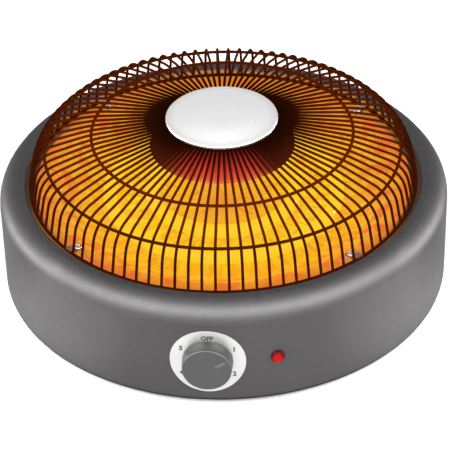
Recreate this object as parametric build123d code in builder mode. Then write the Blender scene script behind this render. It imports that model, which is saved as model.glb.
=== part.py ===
from build123d import *
from math import atan2, cos, degrees, radians, sin, sqrt
import os

# Electric brazier: a round floor heater. Its axis is Z, the floor is Z = 0 and the knob faces -Y.
# Bearings are degrees round the axis, counted from the knob and positive towards +X.

# Casing
body_radius = 200.0
casing_height = 98.5
floor_gap = 4.0
casing_sheet = 1.5
shoulder_radius = 17.0
bottom_bend = 5.0
bottom_flange = 14.0
shoulder_width = 24.5
lip_bend = 2.5
seat_depth = 5.0
seat_bend = 1.0
seat_width = 8.0
tab_width = 18.0
tab_margin = 1.0

# Wire guard
wire_count = 94
wire_radius = 1.2
ring_radius = 1.4
rim_wire_radius = 1.5
rim_clearance = 2.0
rim_seat_gap = 0.1
weld = 0.15
guard_height = 59.5
shoulder_lean = 6.8
shoulder_rise = 35.0
shoulder_wire_bend = 26.0
crown_inset = 55.0
crown_rise = 49.2
crown_bend = 120.0
outer_ring_run = 38.0
inner_ring_run = 83.7
wire_end_overlap = 6.0
wire_end_bend = 40.0
wire_level_run = 5.0
hub_radius = 46.0
hub_sheet = 2.0

# Centre cap and the deflector under it
cap_overhang = 3.5
cap_sheet = 1.2
cap_edge = 2.6
cap_edge_bend = 1.6
cap_crown = 2.2
cap_flat_radius = 20.0
cap_crown_bend = 300.0
cap_wire_gap = 0.4
cap_boss_radius = 8.0
stud_radius = 2.5
stud_hole_gap = 0.2
stud_spare = 1.5
cap_nut_width = 8.0
cap_nut_height = 4.0
deflector_sheet = 1.0
deflector_radius = 64.0
deflector_flare = 23.0
deflector_lip = 3.5
deflector_height = 20.5
deflector_bend = 4.0
deflector_lip_bend = 1.5

# Guard clips
wanted_clip_bearing = 45.0
clip_screw_inset = 13.0
clip_width = 7.0
clip_sheet = 1.0
clip_head_gap = 0.4
clip_ring_gap = 0.3
clip_overhang = 1.0
m4_radius = 2.0
m4_hole_gap = 0.2
m4_head_radius = 3.6
m4_head_height = 2.4
m4_nut_width = 7.0
m4_nut_height = 3.2

# Reflector dish and heat shield
dish_sheet = 1.0
dish_edge_gap = 4.0
dish_flange = 16.0
dish_flange_bend = 4.0
dish_depth = 24.0
dish_slope_run = 41.5
dish_bend = 7.0
shield_overhang = 26.0
shield_sheet = 1.0
shield_drop = 13.0
shield_screw_inset = 18.0
shield_screw_count = 4
spacer_radius = 4.0
m3_radius = 1.5
m3_hole_gap = 0.2
m3_head_radius = 2.6
m3_head_height = 1.8
m3_nut_width = 5.5
m3_nut_height = 2.4
shield_pin_hole = 6.0
screw_spare = 1.0

# Heating tubes
outer_tube_inset = 12.0
tube_spacing = 38.0
tube_radius = 6.0
tube_wall = 1.2
tube_lift = 12.0
tube_end_offset = 14.0
filament_radius = 1.6
socket_depth = 7.0
socket_gap = 0.3
block_wall = 1.5
pin_radius = 1.2
pin_spread = 8.0
pin_length = 22.0
pin_hole_radius = 3.0
tube_clip_bearing = 70.0
tube_clip_sheet = 0.8
tube_clip_width = 6.0
tube_clip_gap = 0.15
tube_clip_mouth = 9.0
tube_clip_foot = 8.0
rivet_radius = 1.4
rivet_head_radius = 2.2
rivet_head_height = 0.8
rivet_hole_gap = 0.1

# Knob, switch and dial
control_height = 48.6
control_reach = 13.6
dial_radius = 32.0
dial_sheet = 1.0
dial_edge_bend = 0.4
skin_gap = 0.05
knob_radius = 21.5
knob_taper = 4.0
knob_edge = 1.2
knob_gap = 0.8
knob_wall = 3.0
knob_face = 2.7
knob_hub_radius = 6.5
knob_rest_angle = 60.0
knob_sweep = 300.0
pointer_length = 10.0
pointer_width = 3.6
pointer_height = 0.5
pointer_offset = 13.0
shaft_radius = 3.0
shaft_flat = 1.5
running_gap = 0.03
bush_radius = 4.75
bush_hole_gap = 0.25
bush_past_nut = 0.4
switch_width = 32.0
switch_depth = 24.0
switch_corner = 3.0
switch_wall_gap = 0.2
switch_shaft_depth = 18.0
shaft_end_gap = 0.4
washer_radius = 7.5
washer_height = 0.8
switch_nut_width = 14.0
switch_nut_height = 2.4
switch_tab_size = 6.3
switch_tab_sheet = 0.8
switch_tab_length = 8.0
switch_tab_spread = 9.0
switch_tab_rise = 6.0

# Pilot lamp
lamp_bearing = 16.9
lamp_height = 49.0
lens_radius = 6.0
lens_flange = 1.0
lens_dome = 3.4
lamp_gap = 0.15
lamp_body_radius = 4.4
lamp_body_length = 24.0
lamp_hole_gap = 0.2
lamp_nut_width = 12.0
lamp_nut_height = 3.0

# Cable gland in the rear wall
gland_height = 32.0
gland_bore = 3.75
gland_throat = 5.5
gland_throat_past_wall = 1.5
gland_neck = 7.9
gland_hole_gap = 0.2
gland_hex = 22.0
gland_hex_height = 3.5
gland_inside = 8.5
gland_cap_radius = 10.0
gland_cap_wall = 2.0
gland_cap_nose = 2.0
gland_cap_gap = 0.1
gland_nose_gap = 0.8
gland_nut_height = 3.5
gland_nut_gap = 0.1

# Base plate, its screws and the feet
base_margin = 7.0
base_sheet = 1.2
base_screw_inset = 9.5
base_screw_count = 4
base_screw_length = 9.4
base_head_radius = 3.0
base_head_height = 1.9
vent_count = 24
vent_length = 30.0
vent_width = 4.0
vent_ring_radius = 85.0
foot_inset = 35.0
foot_count = 4
foot_radius = 11.0
foot_neck_radius = 3.9
foot_neck_gap = 0.1
foot_barb_radius = 5.2
foot_barb_height = 4.0

# Terminal block, earth stud, thermal cut-out and leads
terminal_x = 45.0
terminal_inset = 70.0
terminal_length = 40.0
terminal_depth = 18.0
terminal_height = 16.0
terminal_pitch = 12.0
terminal_screw_radius = 2.2
terminal_screw_depth = 5.0
earth_x = -45.0
earth_stud_length = 14.0
cutout_x = -70.0
cutout_y = -40.0
cutout_radius = 8.5
cutout_body = 9.0
cutout_flange_length = 30.0
cutout_flange_width = 13.0
cutout_flange_sheet = 0.8
cutout_screw_spread = 12.0
lead_radius = 1.3
lead_bend = 9.0

# Levels and radii that follow from the values above
casing_top = floor_gap + casing_height
seat_top = casing_top - seat_depth
lip_radius = body_radius - shoulder_width
seat_inner = lip_radius - seat_width
wall_inner = body_radius - casing_sheet
wall_cut_start = wall_inner - casing_sheet
wall_cut = 3 * casing_sheet
rim_circle = lip_radius - rim_clearance - rim_wire_radius
rim_level = seat_top + rim_seat_gap + rim_wire_radius
clip_screw_circle = lip_radius - clip_screw_inset
tab_inner = clip_screw_circle - m4_head_radius - tab_margin
dish_top = seat_top - casing_sheet
dish_outer = lip_radius - dish_edge_gap
dish_floor = dish_top - dish_depth
dish_floor_radius = dish_outer - dish_flange - dish_slope_run
shield_radius = dish_floor_radius + shield_overhang
shield_top = dish_floor - dish_sheet - shield_drop
tube_level = dish_floor + tube_lift
outer_tube_circle = dish_floor_radius - outer_tube_inset
inner_tube_circle = outer_tube_circle - tube_spacing
shield_screw_circle = inner_tube_circle - shield_screw_inset
base_bottom = floor_gap - base_sheet
base_screw_circle = body_radius - base_screw_inset
foot_circle = body_radius - foot_inset
terminal_y = body_radius - terminal_inset
wire_pitch = 360 / wire_count
first_clip_gap = round(wanted_clip_bearing / wire_pitch)
clip_gaps = (first_clip_gap, wire_count // 2 - first_clip_gap)
clip_bearings = [sign * gap * wire_pitch for gap in clip_gaps for sign in (-1, 1)]


def heading(bearing):
    """The angle from +X, in degrees, of a bearing counted from the knob."""
    return bearing - 90


def outward(bearing):
    """The unit vector that points away from the axis at a bearing."""
    angle = radians(heading(bearing))
    return Vector(cos(angle), sin(angle), 0)


def radial_plane(bearing):
    """A section plane through the axis: x points outward, y points up."""
    out = outward(bearing)
    return Plane(origin=(0, 0, 0), x_dir=out, z_dir=out.cross(Vector(0, 0, 1)))


def wall_plane(bearing, level, distance):
    """A plane that faces away from the axis: x runs to the right, y points up."""
    out = outward(bearing)
    across = Vector(0, 0, 1).cross(out)
    return Plane(origin=out * distance + Vector(0, 0, level), x_dir=across, z_dir=out)


def save(builder, label):
    """Label a finished piece and write it."""
    builder.part.label = label
    export_step(builder.part, f"parts/{label}.step")


os.makedirs("parts", exist_ok=True)

# Outer casing: one drawn sheet from the inturned foot, over the shoulder, to the guard's seat
with BuildPart() as outer_casing:
    with BuildSketch(Plane.XZ):
        with BuildLine():
            FilletPolyline(
                (body_radius - bottom_flange, floor_gap),
                (body_radius, floor_gap),
                (body_radius, casing_top),
                (lip_radius, casing_top),
                (lip_radius, seat_top),
                (tab_inner, seat_top),
                radius=(bottom_bend, shoulder_radius, lip_bend, seat_bend),
            )
            offset(amount=casing_sheet, side=Side.LEFT)
        make_face()
    revolve(axis=Axis.Z)
    with BuildSketch(Plane.XY.offset(seat_top)):
        Circle(seat_inner)
        for bearing in clip_bearings:
            with PolarLocations(seat_inner, 1, start_angle=heading(bearing)):
                Rectangle(2 * (seat_inner - tab_inner), tab_width, mode=Mode.SUBTRACT)
    extrude(amount=-casing_sheet, mode=Mode.SUBTRACT)
    for bearing in clip_bearings:
        with BuildSketch(Plane.XY.offset(seat_top)):
            with PolarLocations(clip_screw_circle, 1, start_angle=heading(bearing)):
                Circle(m4_radius + m4_hole_gap)
        extrude(amount=-casing_sheet, mode=Mode.SUBTRACT)
    with BuildSketch(wall_plane(0, control_height, wall_cut_start)):
        Circle(bush_radius + bush_hole_gap)
    extrude(amount=wall_cut, mode=Mode.SUBTRACT)
    with BuildSketch(wall_plane(lamp_bearing, lamp_height, wall_cut_start)):
        Circle(lamp_body_radius + lamp_hole_gap)
    extrude(amount=wall_cut, mode=Mode.SUBTRACT)
    with BuildSketch(wall_plane(180, gland_height, wall_cut_start)):
        Circle(gland_neck + gland_hole_gap)
    extrude(amount=wall_cut, mode=Mode.SUBTRACT)
    with BuildSketch(Plane.XY.offset(floor_gap)):
        with PolarLocations(base_screw_circle, base_screw_count):
            Circle(m3_radius)
    extrude(amount=casing_sheet, mode=Mode.SUBTRACT)
save(outer_casing, "outer_casing")

# Base plate, pierced for air, screwed under the casing's foot
with BuildPart() as base_plate:
    with BuildSketch(Plane.XY.offset(base_bottom)):
        Circle(body_radius - base_margin)
        with PolarLocations(vent_ring_radius, vent_count):
            SlotOverall(vent_length, vent_width, mode=Mode.SUBTRACT)
        with PolarLocations(foot_circle, foot_count, start_angle=45):
            Circle(foot_neck_radius + foot_neck_gap, mode=Mode.SUBTRACT)
        with PolarLocations(base_screw_circle, base_screw_count):
            Circle(m3_radius + m3_hole_gap, mode=Mode.SUBTRACT)
    extrude(amount=base_sheet)
save(base_plate, "base_plate")

with BuildPart() as base_screws:
    with BuildSketch(Plane.XY.offset(base_bottom)):
        with PolarLocations(base_screw_circle, base_screw_count):
            Circle(base_head_radius)
    extrude(amount=-base_head_height)
    with BuildSketch(Plane.XY.offset(base_bottom)):
        with PolarLocations(base_screw_circle, base_screw_count):
            Circle(m3_radius - running_gap)
    extrude(amount=base_screw_length)
save(base_screws, "base_screws")

# Rubber feet, pushed through the base plate from below and held by their barbs
with BuildPart() as one_foot:
    with BuildSketch():
        Circle(foot_radius)
    extrude(amount=base_bottom)
    with BuildSketch(Plane.XY.offset(base_bottom)):
        Circle(foot_neck_radius)
    extrude(amount=base_sheet)
    with BuildSketch(Plane.XY.offset(floor_gap)):
        Circle(foot_barb_radius)
    with BuildSketch(Plane.XY.offset(floor_gap + foot_barb_height)):
        Circle(foot_neck_radius)
    loft()
with BuildPart() as rubber_feet:
    with PolarLocations(foot_circle, foot_count, start_angle=45):
        add(one_foot.part)
save(rubber_feet, "rubber_feet")

# Guard: the course of one wire, from the rim ring over the shoulder to the hub
wire_foot_level = rim_level + rim_wire_radius - weld
shoulder_point = (rim_circle - shoulder_lean, wire_foot_level + shoulder_rise)
crown_point = (rim_circle - crown_inset, wire_foot_level + crown_rise)
hub_wire_level = rim_level + guard_height
with BuildLine(Plane.XZ) as wire_course:
    FilletPolyline(
        (rim_circle, wire_foot_level),
        shoulder_point,
        crown_point,
        (hub_radius + wire_level_run, hub_wire_level),
        (hub_radius - wire_end_overlap, hub_wire_level),
        radius=(shoulder_wire_bend, crown_bend, wire_end_bend),
    )
wire_line = wire_course.wires()[0]


def ring_centre(run):
    """Radius and level of a ring welded under the wires, at a length of wire from the rim."""
    place = wire_line.position_at(run, position_mode=PositionMode.LENGTH)
    along = wire_line.tangent_at(run, position_mode=PositionMode.LENGTH)
    depth = wire_radius + ring_radius - weld
    return place.X - depth * along.Z, place.Z + depth * along.X


with BuildPart() as one_wire:
    add(wire_line)
    with BuildSketch(Plane(origin=wire_line @ 0, z_dir=wire_line % 0)):
        Circle(wire_radius)
    sweep(path=wire_line)
with BuildPart() as guard_wires:
    with PolarLocations(0, wire_count, start_angle=heading(wire_pitch / 2)):
        add(one_wire.part)
save(guard_wires, "guard_wires")


def save_ring(label, circle, level, section):
    """A closed wire ring round the axis."""
    with BuildPart() as ring:
        with BuildSketch(Plane.XZ):
            with Locations((circle, level)):
                Circle(section)
        revolve(axis=Axis.Z)
    save(ring, label)


save_ring("guard_rim_ring", rim_circle, rim_level, rim_wire_radius)
save_ring("guard_outer_ring", *ring_centre(outer_ring_run), ring_radius)
save_ring("guard_inner_ring", *ring_centre(inner_ring_run), ring_radius)

# Hub plate: the wires' inner ends are welded on its top
hub_top = hub_wire_level - wire_radius + weld
hub_bottom = hub_top - hub_sheet
with BuildPart() as guard_hub_plate:
    with BuildSketch(Plane.XY.offset(hub_bottom)):
        Circle(hub_radius)
        Circle(stud_radius + stud_hole_gap, mode=Mode.SUBTRACT)
    extrude(amount=hub_sheet)
save(guard_hub_plate, "guard_hub_plate")

# Centre cap: a dished cover with a boss and a stud that clamps hub and deflector
cap_bottom = hub_wire_level + wire_radius + cap_wire_gap
cap_shoulder = cap_bottom + cap_edge
boss_top = cap_shoulder + cap_crown - cap_sheet / 2
cap_radius = hub_radius + cap_overhang
stud_end = hub_bottom - deflector_sheet - cap_nut_height - stud_spare
with BuildPart() as centre_cap:
    with BuildSketch(Plane.XZ):
        with BuildLine():
            FilletPolyline(
                (cap_radius, cap_bottom),
                (cap_radius, cap_shoulder),
                (cap_flat_radius, cap_shoulder + cap_crown),
                (0, cap_shoulder + cap_crown),
                radius=(cap_edge_bend, cap_crown_bend),
            )
            offset(amount=cap_sheet, side=Side.LEFT)
        make_face()
    revolve(axis=Axis.Z)
    with BuildSketch(Plane.XY.offset(hub_top)):
        Circle(cap_boss_radius)
    extrude(amount=boss_top - hub_top)
    with BuildSketch(Plane.XY.offset(stud_end)):
        Circle(stud_radius)
    extrude(amount=boss_top - stud_end)
save(centre_cap, "centre_cap")

with BuildPart() as cap_nut:
    with BuildSketch(Plane.XY.offset(hub_bottom - deflector_sheet)):
        RegularPolygon(cap_nut_width / 2, 6, major_radius=False)
        Circle(stud_radius + running_gap, mode=Mode.SUBTRACT)
    extrude(amount=-cap_nut_height)
save(cap_nut, "cap_nut")

# Heat deflector: a cone with a turned-out lip, clamped under the hub plate
deflector_bottom = hub_bottom - deflector_height
with BuildPart() as heat_deflector:
    with BuildSketch(Plane.XZ):
        with BuildLine():
            FilletPolyline(
                (stud_radius + stud_hole_gap, hub_bottom),
                (deflector_radius - deflector_flare, hub_bottom),
                (deflector_radius - deflector_lip, deflector_bottom),
                (deflector_radius, deflector_bottom),
                radius=(deflector_bend, deflector_lip_bend),
            )
            offset(amount=deflector_sheet, side=Side.RIGHT)
        make_face()
    revolve(axis=Axis.Z)
save(heat_deflector, "heat_deflector")

# Guard clips: a stepped tab over the rim ring, screwed to the casing's tab
clip_step = clip_screw_circle + m4_head_radius + clip_head_gap + clip_sheet
clip_top = rim_level + rim_wire_radius + clip_ring_gap
clip_end = rim_circle + clip_overhang
clip_planes = [radial_plane(bearing) for bearing in clip_bearings]
with BuildPart() as guard_clips:
    for plane in clip_planes:
        with BuildSketch(plane):
            with BuildLine():
                Polyline(
                    (tab_inner + clip_head_gap, seat_top),
                    (clip_step, seat_top),
                    (clip_step, clip_top),
                    (clip_end, clip_top),
                )
                offset(amount=clip_sheet, side=Side.LEFT)
            make_face()
        extrude(amount=clip_width / 2, both=True)
    for bearing in clip_bearings:
        with BuildSketch(Plane.XY.offset(seat_top)):
            with PolarLocations(clip_screw_circle, 1, start_angle=heading(bearing)):
                Circle(m4_radius + m4_hole_gap)
        extrude(amount=clip_sheet, mode=Mode.SUBTRACT)
save(guard_clips, "guard_clips")

clip_nut_top = dish_top - dish_sheet
with BuildPart() as guard_clip_screws:
    for bearing in clip_bearings:
        with BuildSketch(Plane.XY.offset(seat_top + clip_sheet)):
            with PolarLocations(clip_screw_circle, 1, start_angle=heading(bearing)):
                Circle(m4_head_radius)
        extrude(amount=m4_head_height)
        with BuildSketch(Plane.XY.offset(clip_nut_top - m4_nut_height - screw_spare)):
            with PolarLocations(clip_screw_circle, 1, start_angle=heading(bearing)):
                Circle(m4_radius)
        extrude(until=Until.NEXT)
save(guard_clip_screws, "guard_clip_screws")

with BuildPart() as guard_clip_nuts:
    for bearing in clip_bearings:
        with BuildSketch(Plane.XY.offset(clip_nut_top)):
            with PolarLocations(clip_screw_circle, 1, start_angle=heading(bearing)):
                RegularPolygon(m4_nut_width / 2, 6, major_radius=False)
                Circle(m4_radius + running_gap, mode=Mode.SUBTRACT)
        extrude(amount=-m4_nut_height)
save(guard_clip_nuts, "guard_clip_nuts")

# Reflector dish: flange under the casing's seat, sloping wall and flat floor
pin_places = [(side * pin_spread, circle) for circle in (outer_tube_circle, inner_tube_circle)
              for side in (-1, 1)]
tube_circles = (outer_tube_circle, inner_tube_circle)
tube_clip_places = [(circle, side * tube_clip_bearing) for circle in tube_circles for side in (-1, 1)]
rivet_offset = tube_clip_foot / 2
with BuildPart() as reflector_dish:
    with BuildSketch(Plane.XZ):
        with BuildLine():
            FilletPolyline(
                (dish_outer, dish_top),
                (dish_outer - dish_flange, dish_top),
                (dish_floor_radius, dish_floor),
                (0, dish_floor),
                radius=(dish_flange_bend, dish_bend),
            )
            offset(amount=dish_sheet, side=Side.LEFT)
        make_face()
    revolve(axis=Axis.Z)
    for bearing in clip_bearings:
        with BuildSketch(Plane.XY.offset(dish_top)):
            with PolarLocations(clip_screw_circle, 1, start_angle=heading(bearing)):
                Circle(m4_radius + m4_hole_gap)
        extrude(amount=-dish_sheet, mode=Mode.SUBTRACT)
    with BuildSketch(Plane.XY.offset(dish_floor)):
        with PolarLocations(shield_screw_circle, shield_screw_count):
            Circle(m3_radius + m3_hole_gap)
        with Locations(*pin_places):
            Circle(pin_hole_radius)
        for circle, bearing in tube_clip_places:
            with PolarLocations(circle + rivet_offset, 1, start_angle=heading(bearing)):
                Circle(rivet_radius + rivet_hole_gap)
    extrude(amount=-dish_sheet, mode=Mode.SUBTRACT)
save(reflector_dish, "reflector_dish")

# Heat shield: a plate hung under the dish on spacers
with BuildPart() as heat_shield:
    with BuildSketch(Plane.XY.offset(shield_top)):
        Circle(shield_radius)
        with PolarLocations(shield_screw_circle, shield_screw_count):
            Circle(m3_radius + m3_hole_gap, mode=Mode.SUBTRACT)
        with Locations(*pin_places):
            Circle(shield_pin_hole, mode=Mode.SUBTRACT)
        with Locations((cutout_x, cutout_y)):
            with Locations((-cutout_screw_spread, 0), (cutout_screw_spread, 0)):
                Circle(m3_radius, mode=Mode.SUBTRACT)
    extrude(amount=-shield_sheet)
save(heat_shield, "heat_shield")

with BuildPart() as shield_spacers:
    with BuildSketch(Plane.XY.offset(shield_top)):
        with PolarLocations(shield_screw_circle, shield_screw_count):
            Circle(spacer_radius)
            Circle(m3_radius + m3_hole_gap, mode=Mode.SUBTRACT)
    extrude(amount=shield_drop)
save(shield_spacers, "shield_spacers")

shield_bottom = shield_top - shield_sheet
with BuildPart() as shield_screws:
    with BuildSketch(Plane.XY.offset(dish_floor)):
        with PolarLocations(shield_screw_circle, shield_screw_count):
            Circle(m3_head_radius)
    extrude(amount=m3_head_height)
    with BuildSketch(Plane.XY.offset(dish_floor)):
        with PolarLocations(shield_screw_circle, shield_screw_count):
            Circle(m3_radius)
    extrude(amount=-(dish_floor - shield_bottom + m3_nut_height + screw_spare))
save(shield_screws, "shield_screws")

with BuildPart() as shield_nuts:
    with BuildSketch(Plane.XY.offset(shield_bottom)):
        with PolarLocations(shield_screw_circle, shield_screw_count):
            RegularPolygon(m3_nut_width / 2, 6, major_radius=False)
            Circle(m3_radius + running_gap, mode=Mode.SUBTRACT)
    extrude(amount=-m3_nut_height)
save(shield_nuts, "shield_nuts")


def half_gap(circle):
    """Half the angle, in degrees, that a heating tube leaves open at the back."""
    return degrees(atan2(tube_end_offset, circle))


def ring_arc(circle, section, opening):
    """An arc round the axis, open at the back by a given half angle."""
    with BuildPart() as arc:
        with BuildSketch(radial_plane(180 + opening)):
            with Locations((circle, tube_level)):
                Circle(section)
        revolve(axis=Axis.Z, revolution_arc=360 - 2 * opening)
    return arc.part


# Heating tubes: open quartz rings, each with a filament along its middle
for name, circle in (("outer", outer_tube_circle), ("inner", inner_tube_circle)):
    with BuildPart() as heating_tube:
        add(ring_arc(circle, tube_radius, half_gap(circle)))
        add(ring_arc(circle, tube_radius - tube_wall, half_gap(circle)), mode=Mode.SUBTRACT)
    save(heating_tube, f"{name}_heating_tube")
    with BuildPart() as filament:
        add(ring_arc(circle, filament_radius, half_gap(circle)))
    save(filament, f"{name}_filament")

# Ceramic end blocks: both ends of a tube sit in the sockets of one block
block_half = tube_end_offset + socket_depth
block_height = tube_lift + tube_radius + socket_gap + block_wall
block_depth = 2 * (tube_radius + socket_gap + block_wall)
with BuildPart() as end_blocks:
    for circle in tube_circles:
        with BuildSketch(Plane.XY.offset(dish_floor)):
            with Locations((0, circle)):
                Rectangle(2 * block_half, block_depth)
        extrude(amount=block_height)
    for circle in tube_circles:
        socket_end = half_gap(circle) - degrees(socket_gap / circle)
        add(ring_arc(circle, tube_radius + socket_gap, socket_end), mode=Mode.SUBTRACT)
save(end_blocks, "tube_end_blocks")

with BuildPart() as tube_pins:
    with BuildSketch(Plane.XY.offset(dish_floor)):
        with Locations(*pin_places):
            Circle(pin_radius)
    extrude(amount=-pin_length)
save(tube_pins, "tube_pins")

# Tube clips: a spring saddle on a riveted foot, open at the top
clip_inner = tube_radius + tube_clip_gap
clip_outer = clip_inner + tube_clip_sheet
with BuildPart() as tube_clips:
    for circle, bearing in tube_clip_places:
        with BuildSketch(radial_plane(bearing)):
            with Locations((circle, tube_level)):
                Circle(clip_outer)
            with Locations((circle, (dish_floor + tube_level) / 2)):
                Rectangle(tube_clip_sheet, tube_lift)
            with Locations((circle + rivet_offset, dish_floor + tube_clip_sheet / 2)):
                Rectangle(tube_clip_foot + tube_clip_sheet, tube_clip_sheet)
            with Locations((circle, tube_level)):
                Circle(clip_inner, mode=Mode.SUBTRACT)
                with Locations((0, clip_outer)):
                    Rectangle(tube_clip_mouth, clip_outer, mode=Mode.SUBTRACT)
        extrude(amount=tube_clip_width / 2, both=True)
    for circle, bearing in tube_clip_places:
        with BuildSketch(Plane.XY.offset(dish_floor)):
            with PolarLocations(circle + rivet_offset, 1, start_angle=heading(bearing)):
                Circle(rivet_radius + rivet_hole_gap)
        extrude(amount=tube_clip_sheet, mode=Mode.SUBTRACT)
save(tube_clips, "tube_clips")

rivet_top = dish_floor + tube_clip_sheet
rivet_bottom = dish_floor - dish_sheet
with BuildPart() as clip_rivets:
    for circle, bearing in tube_clip_places:
        for level, radius, height in (
            (rivet_top, rivet_head_radius, rivet_head_height),
            (rivet_bottom, rivet_radius, rivet_top - rivet_bottom),
            (rivet_bottom - rivet_head_height, rivet_head_radius, rivet_head_height),
        ):
            with BuildSketch(Plane.XY.offset(level)):
                with PolarLocations(circle + rivet_offset, 1, start_angle=heading(bearing)):
                    Circle(radius)
            extrude(amount=height)
save(clip_rivets, "clip_rivets")

# Dial plate: a thin disc that follows the casing's curve
dial_back = body_radius + skin_gap
dial_front = dial_back + dial_sheet
with BuildPart() as dial_plate:
    with BuildSketch(wall_plane(0, control_height, body_radius / 2)):
        Circle(dial_radius)
        Circle(bush_radius + bush_hole_gap, mode=Mode.SUBTRACT)
    extrude(amount=body_radius)
    with BuildSketch(Plane.XY.offset(control_height - 2 * dial_radius)):
        Circle(dial_front)
        Circle(dial_back, mode=Mode.SUBTRACT)
    extrude(amount=4 * dial_radius, mode=Mode.INTERSECT)
    fillet(dial_plate.edges().sort_by(SortBy.LENGTH)[-1], dial_edge_bend)
save(dial_plate, "dial_plate")

# Rotary switch behind the wall, its bush through wall and dial
washer_back = dial_front + skin_gap
nut_back = washer_back + washer_height
bush_end = nut_back + switch_nut_height + bush_past_nut
switch_front = sqrt(wall_inner**2 - (switch_width / 2) ** 2) - switch_wall_gap
switch_back = switch_front - switch_depth
shaft_seat = bush_end - switch_shaft_depth - switch_nut_height
with BuildPart() as rotary_switch:
    with BuildSketch(wall_plane(0, control_height, switch_back)):
        Rectangle(switch_width, switch_width)
    extrude(amount=switch_depth)
    fillet(rotary_switch.edges().filter_by(Axis.Y), switch_corner)
    with BuildSketch(wall_plane(0, control_height, switch_front)):
        Circle(bush_radius)
    extrude(amount=bush_end - switch_front)
    with BuildSketch(wall_plane(0, control_height, bush_end)):
        Circle(shaft_radius + running_gap)
    extrude(amount=-(bush_end - shaft_seat), mode=Mode.SUBTRACT)
save(rotary_switch, "rotary_switch")

tab_places = [(x * switch_tab_spread, y * switch_tab_rise) for x in (-1, 1) for y in (-1, 1)]
with BuildPart() as switch_tabs:
    with BuildSketch(wall_plane(0, control_height, switch_back)):
        with Locations(*tab_places):
            Rectangle(switch_tab_size, switch_tab_sheet)
    extrude(amount=-switch_tab_length)
save(switch_tabs, "switch_tabs")

with BuildPart() as switch_washer:
    with BuildSketch(wall_plane(0, control_height, washer_back)):
        Circle(washer_radius)
        Circle(bush_radius + skin_gap, mode=Mode.SUBTRACT)
    extrude(amount=washer_height)
save(switch_washer, "switch_washer")

with BuildPart() as switch_nut:
    with BuildSketch(wall_plane(0, control_height, nut_back)):
        RegularPolygon(switch_nut_width / 2, 6, major_radius=False)
        Circle(bush_radius + skin_gap, mode=Mode.SUBTRACT)
    extrude(amount=switch_nut_height)
save(switch_nut, "switch_nut")

# Control knob on the switch shaft, shown at the first of its heat positions
knob_back = dial_front + knob_gap
knob_front = body_radius + control_reach
knob_depth = knob_front - pointer_height - knob_back
nut_pocket = bush_end + knob_gap - knob_back
pointer_angle = 90 - knob_rest_angle
with BuildPart() as control_knob:
    with BuildSketch(wall_plane(0, control_height, knob_back)):
        Circle(knob_radius)
    extrude(amount=knob_depth, taper=knob_taper)
    fillet(control_knob.edges().group_by(Axis.Y)[0], knob_edge)
    with BuildSketch(wall_plane(0, control_height, knob_back)):
        Circle(knob_radius - knob_wall)
    extrude(amount=nut_pocket, mode=Mode.SUBTRACT)
    with BuildSketch(wall_plane(0, control_height, knob_back)):
        Circle(knob_radius - knob_wall)
        Circle(knob_hub_radius, mode=Mode.SUBTRACT)
    extrude(amount=knob_depth - knob_face, mode=Mode.SUBTRACT)
    with BuildSketch(wall_plane(0, control_height, knob_back)):
        Circle(shaft_radius + skin_gap)
        with Locations((0, 2 * shaft_radius + shaft_flat + skin_gap)):
            Rectangle(4 * shaft_radius, 4 * shaft_radius, mode=Mode.SUBTRACT)
    extrude(amount=knob_depth - knob_face, mode=Mode.SUBTRACT)
    with BuildSketch(wall_plane(0, control_height, knob_back + knob_depth - knob_face / 2)):
        with PolarLocations(pointer_offset, 1, start_angle=pointer_angle):
            SlotOverall(pointer_length, pointer_width)
    extrude(amount=knob_face / 2 + pointer_height)
save(control_knob, "control_knob")

shaft_end = knob_back + knob_depth - knob_face - shaft_end_gap
with BuildPart() as switch_shaft:
    with BuildSketch(wall_plane(0, control_height, shaft_seat + shaft_end_gap)):
        Circle(shaft_radius)
    extrude(amount=shaft_end - shaft_seat - shaft_end_gap)
    with BuildSketch(wall_plane(0, control_height, shaft_end)):
        with Locations((0, 2 * shaft_radius + shaft_flat)):
            Rectangle(4 * shaft_radius, 4 * shaft_radius)
    extrude(amount=-(shaft_end - bush_end), mode=Mode.SUBTRACT)
save(switch_shaft, "switch_shaft")

# Pilot lamp: domed lens outside, body and locknut behind the wall
lens_back = body_radius + lamp_gap
dome_radius = (lens_radius**2 + lens_dome**2) / (2 * lens_dome)
with BuildPart() as pilot_lamp_lens:
    with BuildSketch(wall_plane(lamp_bearing, lamp_height, lens_back)):
        Circle(lens_radius)
    extrude(amount=lens_flange)
    with BuildSketch(radial_plane(lamp_bearing)) as dome:
        with BuildLine():
            base = lens_back + lens_flange
            Line((base, lamp_height), (base + lens_dome, lamp_height))
            RadiusArc((base + lens_dome, lamp_height), (base, lamp_height + lens_radius), -dome_radius)
            Line((base, lamp_height + lens_radius), (base, lamp_height))
        make_face()
    revolve(axis=Axis((0, 0, lamp_height), outward(lamp_bearing)))
save(pilot_lamp_lens, "pilot_lamp_lens")

with BuildPart() as pilot_lamp_body:
    with BuildSketch(wall_plane(lamp_bearing, lamp_height, lens_back)):
        Circle(lamp_body_radius)
    extrude(amount=-lamp_body_length)
save(pilot_lamp_body, "pilot_lamp_body")

lamp_nut_front = sqrt(wall_inner**2 - lamp_nut_width**2 / 3) - skin_gap
with BuildPart() as pilot_lamp_nut:
    with BuildSketch(wall_plane(lamp_bearing, lamp_height, lamp_nut_front)):
        RegularPolygon(lamp_nut_width / 2, 6, major_radius=False)
        Circle(lamp_body_radius + skin_gap, mode=Mode.SUBTRACT)
    extrude(amount=-lamp_nut_height)
save(pilot_lamp_nut, "pilot_lamp_nut")

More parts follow.
